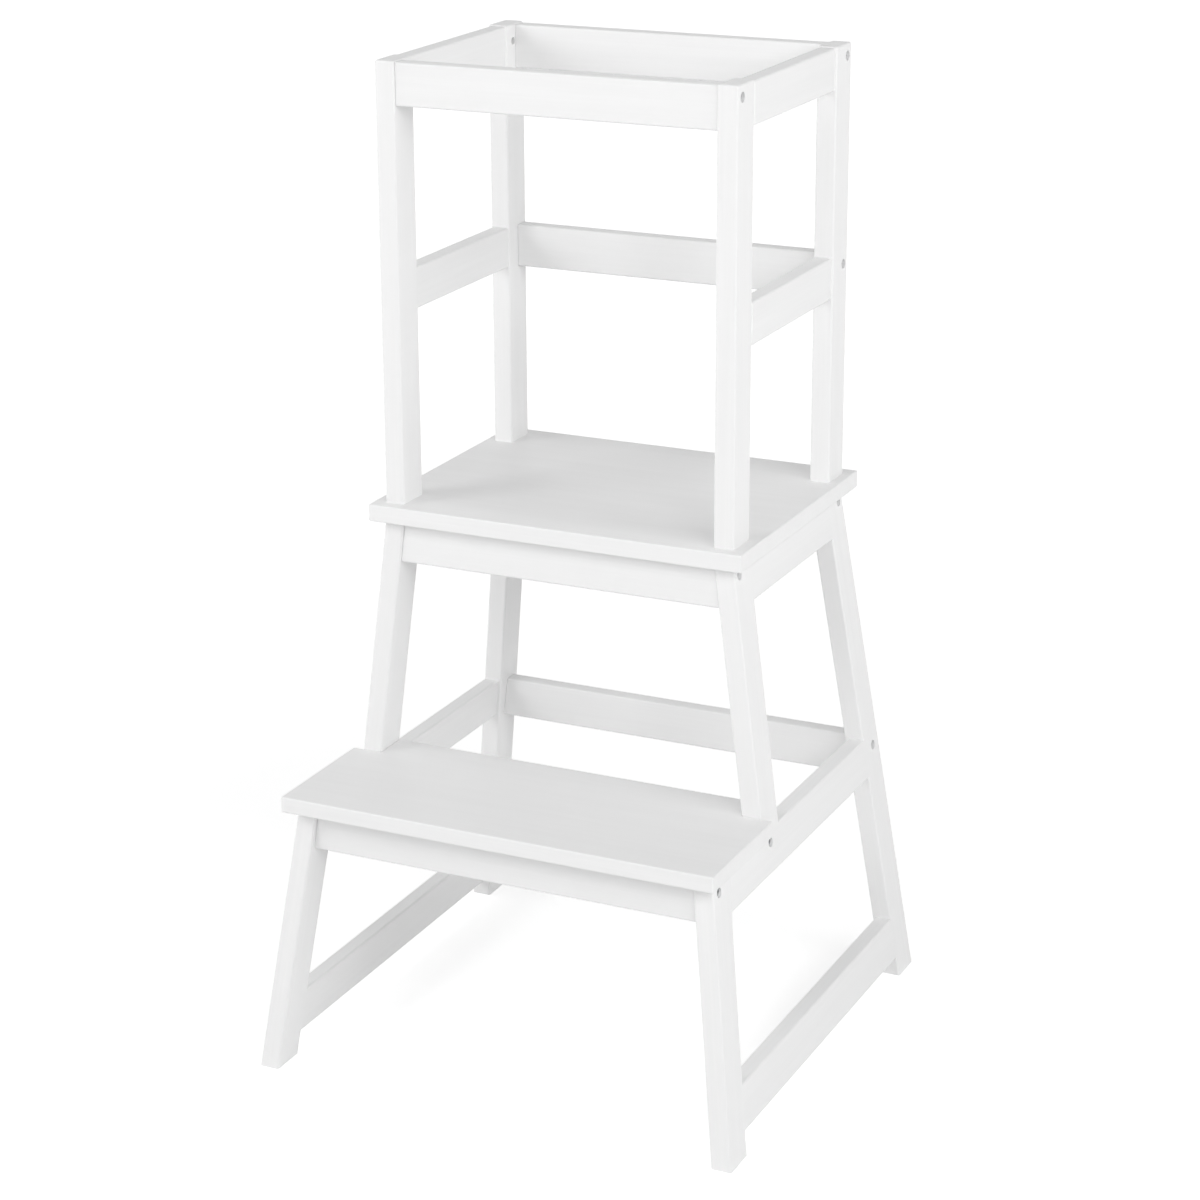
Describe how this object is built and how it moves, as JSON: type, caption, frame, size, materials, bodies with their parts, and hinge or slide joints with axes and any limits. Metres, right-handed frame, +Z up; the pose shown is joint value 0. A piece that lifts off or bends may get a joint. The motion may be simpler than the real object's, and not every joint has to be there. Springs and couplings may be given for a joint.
{
  "type": "children's step stool",
  "caption": "White painted wooden step stool for a small child: a lower step, a platform and an upright guard frame of posts and rails that is open at the front.",
  "frame": {"origin": "on the floor at the middle of the four feet", "axes": "+X to the right seen from the front, +Y to the back, away from the lower step, +Z up"},
  "size_m": [0.466, 0.456, 0.9],
  "materials": {
    "white_paint": "satin white paint",
    "zinc_steel": "zinc plated",
    "beech_dowel": "bare, fluted"
  },
  "bodies": {
    "root": {"front_leg_left": "white_paint", "front_leg_right": "white_paint", "upper_leg_left": "white_paint", "upper_leg_right": "white_paint", "rear_leg_left": "white_paint", "rear_leg_right": "white_paint", "guard_front_post_left": "white_paint", "guard_front_post_right": "white_paint", "guard_rear_post_left": "white_paint", "guard_rear_post_right": "white_paint", "low_side_rail_left": "white_paint", "low_side_rail_right": "white_paint", "mid_side_rail_left": "white_paint", "mid_side_rail_right": "white_paint", "platform_side_apron_left": "white_paint", "platform_side_apron_right": "white_paint", "guard_top_side_rail_left": "white_paint", "guard_top_side_rail_right": "white_paint", "guard_mid_side_rail_left": "white_paint", "guard_mid_side_rail_right": "white_paint", "step_front_apron": "white_paint", "step_rear_crosspiece": "white_paint", "platform_front_apron": "white_paint", "platform_rear_apron": "white_paint", "rear_mid_rail": "white_paint", "guard_top_front_rail": "white_paint", "guard_top_rear_rail": "white_paint", "guard_mid_rear_rail": "white_paint", "platform": "white_paint", "lower_step": "white_paint", "connector_bolts": "zinc_steel", "threaded_inserts": "zinc_steel", "board_screws": "zinc_steel", "cross_rail_dowels": "beech_dowel", "side_frame_dowels": "beech_dowel", "post_dowels": "beech_dowel"}
  },
  "joints": []
}
